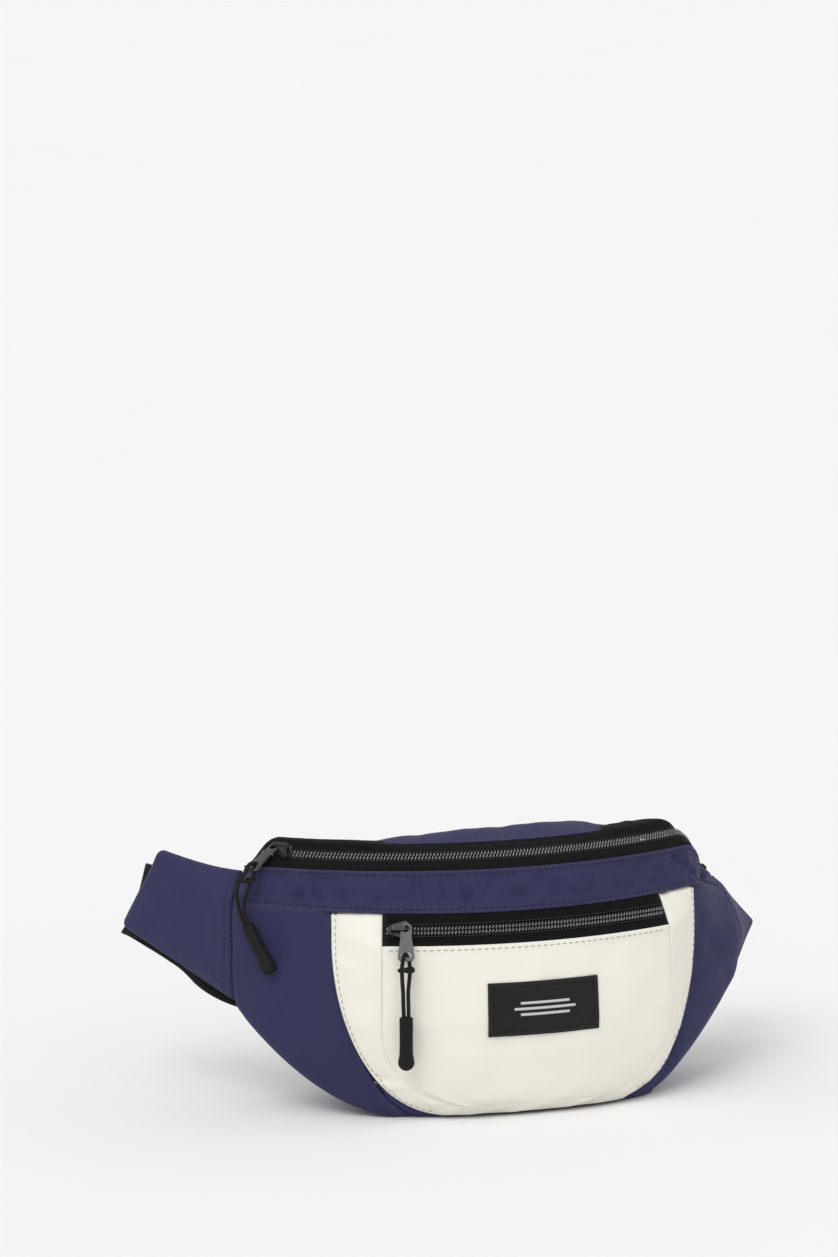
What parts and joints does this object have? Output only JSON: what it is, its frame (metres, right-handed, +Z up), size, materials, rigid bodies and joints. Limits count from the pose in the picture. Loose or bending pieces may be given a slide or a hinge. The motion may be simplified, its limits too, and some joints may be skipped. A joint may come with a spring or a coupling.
{
  "type": "waist pack",
  "caption": "Curved two-tone waist pack with a zipped main compartment, a bellows front pocket, padded side wings and a webbing belt joined by a side-release buckle.",
  "frame": {"origin": "middle of the whole part's box, at the level of the flat base the pack stands on", "axes": "+X towards the right end of the pack as seen from the front, -Y towards the front pocket, +Z up; the pack stands on z = 0 with its belt closed behind it"},
  "size_m": [0.3373, 0.1421, 0.1376],
  "materials": {
    "navy_cloth": "matt plain-weave nylon",
    "cream_cloth": "matt plain-weave nylon",
    "spacer_mesh": "matt knitted spacer mesh",
    "foam": "soft closed-cell foam",
    "zip_tape": "matt woven tape",
    "zip_coil": "satin nylon coil",
    "webbing": "ribbed woven webbing",
    "label_patch": "soft matt patch",
    "buckle_plastic": "fine grained moulded plastic",
    "gunmetal": "dark satin plating",
    "pull_cord": "braided cord",
    "pull_tip": "soft moulded tip"
  },
  "bodies": {
    "pack": {"back_panel": "spacer_mesh", "back_foam": "foam", "top_rear_panel": "navy_cloth", "front_band": "navy_cloth", "side_panel_left": "navy_cloth", "side_panel_right": "navy_cloth", "bottom_panel": "navy_cloth", "pocket_divider": "navy_cloth", "pocket_gusset": "cream_cloth", "pocket_panel": "cream_cloth", "label": "label_patch", "main_zip_tape_rear": "zip_tape", "main_zip_tape_front": "zip_tape", "main_zip_coil_rear": "zip_coil", "main_zip_coil_front": "zip_coil", "pocket_zip_tape_upper": "zip_tape", "pocket_zip_tape_lower": "zip_tape", "pocket_zip_coil_upper": "zip_coil", "pocket_zip_coil_lower": "zip_coil", "wing_left_outer": "navy_cloth", "wing_left_foam": "foam", "wing_left_inner": "spacer_mesh", "wing_right_outer": "navy_cloth", "wing_right_foam": "foam", "wing_right_inner": "spacer_mesh", "strap_left": "webbing", "strap_right": "webbing", "buckle_female": "buckle_plastic"},
    "keeper": {"strap_keeper": "webbing"},
    "buckle_male": {"buckle_male": "buckle_plastic"},
    "latch_upper": {"latch_arm_upper": "buckle_plastic"},
    "latch_lower": {"latch_arm_lower": "buckle_plastic"},
    "main_slider": {"main_slider": "gunmetal"},
    "main_tab": {"main_pull_tab": "gunmetal"},
    "main_pull": {"main_pull_cord": "pull_cord", "main_pull_tip": "pull_tip"},
    "pocket_slider": {"pocket_slider": "gunmetal"},
    "pocket_tab": {"pocket_pull_tab": "gunmetal"},
    "pocket_pull": {"pocket_pull_cord": "pull_cord", "pocket_pull_tip": "pull_tip"}
  },
  "joints": [
    {"name": "main_zip_slide", "type": "hinge", "parent": "pack", "child": "main_slider", "pos_m": [0.01, 0.153, 0], "axis": [0, 0, 1], "range_deg": [0, 61], "deforming": ["main_pull_cord", "main_pull_tip"]},
    {"name": "main_tab_hinge", "type": "hinge", "parent": "main_slider", "child": "main_tab", "pos_m": [-0.10813, -0.0033, 0.13291], "axis": [-0.5703, -0.1422, 0.809], "range_deg": [0, 55], "deforming": ["main_pull_cord", "main_pull_tip"]},
    {"name": "main_pull_swing", "type": "hinge", "parent": "main_tab", "child": "main_pull", "pos_m": [-0.12038, -0.00636, 0.12374], "axis": [-0.2419, 0.9703, 0], "range_deg": [0, 30]},
    {"name": "pocket_zip_slide", "type": "hinge", "parent": "pack", "child": "pocket_slider", "pos_m": [0.01, 0.153, 0], "axis": [0, 0, 1], "range_deg": [0, 37]},
    {"name": "pocket_tab_hinge", "type": "hinge", "parent": "pocket_slider", "child": "pocket_tab", "pos_m": [-0.05481, -0.05117, 0.09769], "axis": [-0.2816, -0.8368, 0.4695], "range_deg": [-20, 20]},
    {"name": "pocket_pull_swing", "type": "hinge", "parent": "pocket_tab", "child": "pocket_pull", "pos_m": [-0.05714, -0.05811, 0.08392], "axis": [0.9478, -0.319, 0], "range_deg": [-60, 0]},
    {"name": "buckle_release", "type": "slide", "parent": "pack", "child": "buckle_male", "axis": [1, 0, 0], "range_m": [0, 0.032], "deforming": ["latch_arm_upper", "latch_arm_lower", "strap_right"]},
    {"name": "latch_press_upper", "type": "hinge", "parent": "buckle_male", "child": "latch_upper", "pos_m": [-0.025, 0.025, 0.0695], "axis": [0, -1, 0], "range_deg": [0, 12], "stiffness_Nm_per_rad": 0.02},
    {"name": "latch_press_lower", "type": "hinge", "parent": "buckle_male", "child": "latch_lower", "pos_m": [-0.025, 0.025, 0.0445], "axis": [0, 1, 0], "range_deg": [0, 12], "stiffness_Nm_per_rad": 0.02},
    {"name": "keeper_slide", "type": "slide", "parent": "pack", "child": "keeper", "axis": [1, 0, 0], "range_m": [0, 0.036]}
  ],
  "couplings": [
    {"joint": "latch_press_lower", "follows": "latch_press_upper", "ratio": 1}
  ]
}
